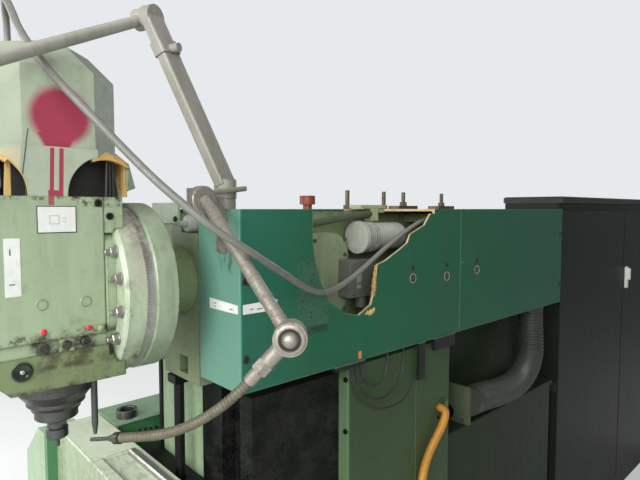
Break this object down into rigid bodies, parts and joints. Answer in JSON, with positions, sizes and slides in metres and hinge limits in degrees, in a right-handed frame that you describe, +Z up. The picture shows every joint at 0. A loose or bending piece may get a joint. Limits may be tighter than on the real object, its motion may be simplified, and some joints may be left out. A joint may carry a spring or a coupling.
{
  "type": "ram type universal CNC milling machine",
  "caption": "Knee type CNC milling machine with a sliding ram, swivel vertical head, angle table and a switch cabinet behind it, its side cover broken open.",
  "frame": {"origin": "on the floor under the spindle's centre plane, the middle of the machine's width", "axes": "+X to the operator's right, +Y from the operator to the rear, +Z up"},
  "size_m": [1.3656, 4.342, 2.214],
  "materials": {
    "light_green_paint": "satin",
    "moulded_cover": "satin",
    "dark_green_paint": "satin",
    "machined_steel": "satin",
    "cream_paint": "satin",
    "aluminium_rail": "satin",
    "cabinet_grey": "matte",
    "olive_casting": "satin",
    "dark_motor": "satin",
    "white_plastic": "satin",
    "red_plastic": "satin",
    "grey_conduit": "satin",
    "black_rubber": "matte",
    "amber_plastic": "satin"
  },
  "bodies": {
    "stand": {"base_casting": "light_green_paint", "levelling_feet": "machined_steel", "column": "light_green_paint", "vertical_ways": "machined_steel", "screw_cover": "light_green_paint", "ram_way": "machined_steel", "upright_tube": "machined_steel", "rear_housing": "light_green_paint", "cable_duct": "cabinet_grey", "cabinet_shell": "cabinet_grey", "cabinet_lid": "cabinet_grey", "mounting_plate": "cabinet_grey", "conduit_bracket": "light_green_paint", "amber_conduit": "amber_plastic"},
    "front_door": {"front_cabinet_door": "cabinet_grey"},
    "rear_door": {"rear_cabinet_door": "cabinet_grey", "door_latch": "white_plastic"},
    "knee": {"knee_carriage": "machined_steel", "drive_housing": "dark_green_paint", "cable_grommet": "black_rubber"},
    "table": {"cross_slide": "machined_steel", "slide_cover": "cream_paint", "scale_rail": "aluminium_rail", "slide_end_housing": "dark_green_paint", "angle_table": "machined_steel"},
    "ram": {"ram_casting": "light_green_paint", "ram_right_cover": "dark_green_paint", "ram_left_cover": "dark_green_paint", "ram_top_plate": "light_green_paint", "swivel_disc": "machined_steel", "swivel_scale": "machined_steel", "clamp_flange": "light_green_paint", "head_neck": "light_green_paint", "head_body": "light_green_paint", "lower_housing": "light_green_paint", "motor_cover": "moulded_cover", "head_motor": "dark_motor", "bearing_cap": "machined_steel", "coolant_rod": "machined_steel", "gear_housing": "olive_casting", "feed_motor": "dark_motor", "terminal_box": "dark_motor", "lifting_studs": "machined_steel", "oil_filler": "red_plastic", "lamp_base": "cream_paint", "coolant_bracket": "machined_steel", "coolant_joint": "machined_steel", "coolant_pipe": "machined_steel", "gooseneck": "grey_conduit", "coolant_nozzle": "machined_steel", "head_conduit": "grey_conduit", "conduit_gland": "grey_conduit", "corrugated_conduit": "grey_conduit", "cable_loop_1": "black_rubber", "cable_loop_2": "black_rubber", "cable_loop_3": "black_rubber"},
    "spindle": {"spindle_nose": "machined_steel", "tool_holder": "machined_steel"},
    "lamp_arm": {"lamp_arm": "cream_paint"},
    "lamp_boom": {"lamp_boom": "cream_paint"}
  },
  "joints": [
    {"name": "knee_slide", "type": "slide", "parent": "stand", "child": "knee", "axis": [0, 0, 1], "range_m": [-0.2, 0.25]},
    {"name": "table_slide", "type": "slide", "parent": "knee", "child": "table", "axis": [1, 0, 0], "range_m": [-0.3, 0.3]},
    {"name": "ram_slide", "type": "slide", "parent": "stand", "child": "ram", "axis": [0, 1, 0], "range_m": [-0.45, 0], "deforming": ["corrugated_conduit"]},
    {"name": "spindle_turn", "type": "hinge", "parent": "ram", "child": "spindle", "pos_m": [0, -0.808, 1.3], "axis": [0, 0, 1], "continuous": true},
    {"name": "front_door_hinge", "type": "hinge", "parent": "stand", "child": "front_door", "pos_m": [0.23, 1.354, 0.93], "axis": [0, 0, 1], "range_deg": [-120, 0]},
    {"name": "rear_door_hinge", "type": "hinge", "parent": "stand", "child": "rear_door", "pos_m": [0.23, 3.152, 0.93], "axis": [0, 0, 1], "range_deg": [0, 120]},
    {"name": "lamp_swivel", "type": "hinge", "parent": "ram", "child": "lamp_arm", "pos_m": [0.204, -0.488, 1.775], "axis": [0, 0, 1], "range_deg": [0, 100]},
    {"name": "lamp_elbow", "type": "hinge", "parent": "lamp_arm", "child": "lamp_boom", "pos_m": [0.09, -0.607, 2.186], "axis": [-0.9157, -0.4018, 0], "range_deg": [0, 45]}
  ]
}
